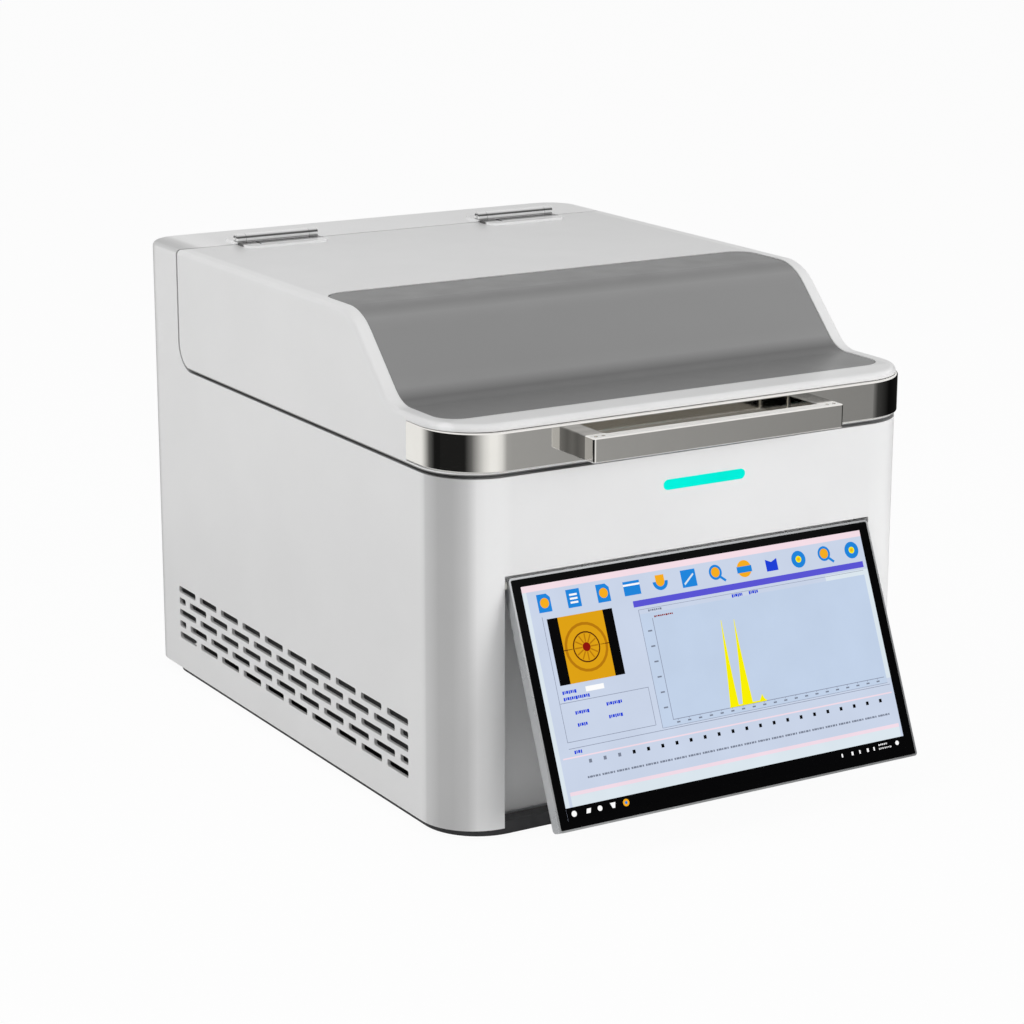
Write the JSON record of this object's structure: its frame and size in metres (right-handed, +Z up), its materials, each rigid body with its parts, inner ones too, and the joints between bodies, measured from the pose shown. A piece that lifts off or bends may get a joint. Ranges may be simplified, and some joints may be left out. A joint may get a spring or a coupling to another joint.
{
  "type": "x-ray spectrometer",
  "caption": "Bench x-ray spectrometer: slotted white cabinet, S-curved lid on barrel hinges with chrome band and pull handle, and a touch display tilted out of a niche.",
  "frame": {"origin": "bottom centre of the whole footprint, from the foot of the tilted display to the rear of the cabinet, on the bench", "axes": "+Z up, +X to the operator's right, +Y from the operator's side to the rear"},
  "size_m": [0.4008, 0.5766, 0.3663],
  "materials": {
    "white_enamel": "satin white powder coat",
    "white_moulding": "satin white moulded skin",
    "dark_tray": "satin dark grey powder coat",
    "grey_cover": "satin mid grey",
    "chrome": "polished chrome plate",
    "hinge_metal": "bright plated steel",
    "steel": "plated steel",
    "stainless": "brushed stainless steel",
    "aluminium": "bead-blasted aluminium",
    "silver_cover": "silver satin cover",
    "lead": "dull grey lead sheet",
    "brass": "machined brass",
    "rubber": "black rubber",
    "cable_red": "red silicone jacket",
    "black_plastic": "black moulded plastic",
    "black_gloss": "black gloss plastic",
    "generator_case": "dark blue-grey paint",
    "motor_case": "black paint",
    "circuit_board": "green solder mask",
    "screen": "backlit panel",
    "glass": "dark-edged cover glass",
    "film": "clear polymer film",
    "washer_plastic": "natural friction washer",
    "cyan_light": "cyan light bar"
  },
  "bodies": {
    "cabinet": {"cabinet_shell": "white_enamel", "base_tray": "dark_tray", "rubber_feet": "rubber", "rear_panel": "white_enamel", "rear_panel_screws": "steel", "chamber_tray": "stainless", "window_ring": "aluminium", "window_film": "film", "optics_plate": "aluminium", "optics_pillars": "steel", "x_ray_tube": "stainless", "tube_heat_sink": "aluminium", "high_voltage_generator": "generator_case", "high_voltage_cable": "cable_red", "x_ray_detector": "aluminium", "detector_bracket": "steel", "filter_motor": "motor_case", "collimator_guide": "aluminium", "collimator_motor": "motor_case", "beam_tube": "brass", "camera_module": "black_plastic", "camera_bracket": "steel", "main_board": "circuit_board", "pulse_processor_board": "circuit_board", "board_standoffs": "brass", "power_supply": "steel", "fan_frames": "black_plastic", "power_inlet": "black_gloss", "inlet_pins": "brass", "switch_frame": "black_gloss", "port_block": "steel", "interlock_sensor": "black_plastic", "hinge_bases": "hinge_metal", "hinge_pins": "steel", "hinge_screws": "steel", "status_light": "cyan_light", "status_light_board": "circuit_board", "display_pivot_pins": "steel", "display_washers": "washer_plastic"},
    "lid": {"lid_shell": "white_moulding", "lid_liner": "stainless", "lid_lead_shield": "lead", "lid_seal": "rubber", "lid_front_cover": "grey_cover", "chrome_band": "chrome", "pull_handle": "chrome", "handle_screws": "steel", "interlock_magnet": "steel", "hinge_leaves": "hinge_metal"},
    "display": {"display_cover": "silver_cover", "display_panel": "screen", "display_board": "circuit_board", "display_glass": "glass"},
    "filter_wheel_body": {"filter_wheel": "brass"},
    "filter_pinion_body": {"filter_pinion": "brass"},
    "collimator_slide_body": {"collimator_slide": "brass"},
    "lead_screw_body": {"lead_screw": "steel"},
    "fan_rotor_left_body": {"fan_rotor_left": "black_plastic"},
    "fan_rotor_right_body": {"fan_rotor_right": "black_plastic"},
    "switch_rocker_body": {"switch_rocker": "black_gloss"}
  },
  "joints": [
    {"name": "lid_hinge", "type": "hinge", "parent": "cabinet", "child": "lid", "pos_m": [0, 0.22027, 0.3622], "axis": [-1, 0, 0], "range_deg": [0, 75]},
    {"name": "display_tilt", "type": "hinge", "parent": "cabinet", "child": "display", "pos_m": [0, -0.21503, 0.1846], "axis": [-1, 0, 0], "range_deg": [-19, 37]},
    {"name": "filter_wheel_spin", "type": "hinge", "parent": "cabinet", "child": "filter_wheel_body", "pos_m": [-0.02, 0.00727, 0.1325], "axis": [0, 0, 1], "continuous": true},
    {"name": "filter_pinion_spin", "type": "hinge", "parent": "cabinet", "child": "filter_pinion_body", "pos_m": [-0.0575, 0.00727, 0.1325], "axis": [0, 0, 1], "continuous": true},
    {"name": "collimator_travel", "type": "slide", "parent": "cabinet", "child": "collimator_slide_body", "axis": [0, -1, 0], "range_m": [0, 0.036]},
    {"name": "lead_screw_spin", "type": "hinge", "parent": "cabinet", "child": "lead_screw_body", "pos_m": [0.016, 0.00727, 0.1399], "axis": [0, 1, 0], "range_deg": [-10, 3300]},
    {"name": "fan_left_spin", "type": "hinge", "parent": "cabinet", "child": "fan_rotor_left_body", "pos_m": [-0.07, 0.27627, 0.178], "axis": [0, 1, 0], "continuous": true},
    {"name": "fan_right_spin", "type": "hinge", "parent": "cabinet", "child": "fan_rotor_right_body", "pos_m": [0.07, 0.27627, 0.178], "axis": [0, 1, 0], "continuous": true},
    {"name": "power_switch_rock", "type": "hinge", "parent": "cabinet", "child": "switch_rocker_body", "pos_m": [0.066, 0.28077, 0.062], "axis": [-1, 0, 0], "range_deg": [0, 16]}
  ],
  "couplings": [
    {"joint": "filter_pinion_spin", "follows": "filter_wheel_spin", "ratio": -4},
    {"joint": "lead_screw_spin", "follows": "collimator_travel", "rad_per_m": 1570.8}
  ]
}
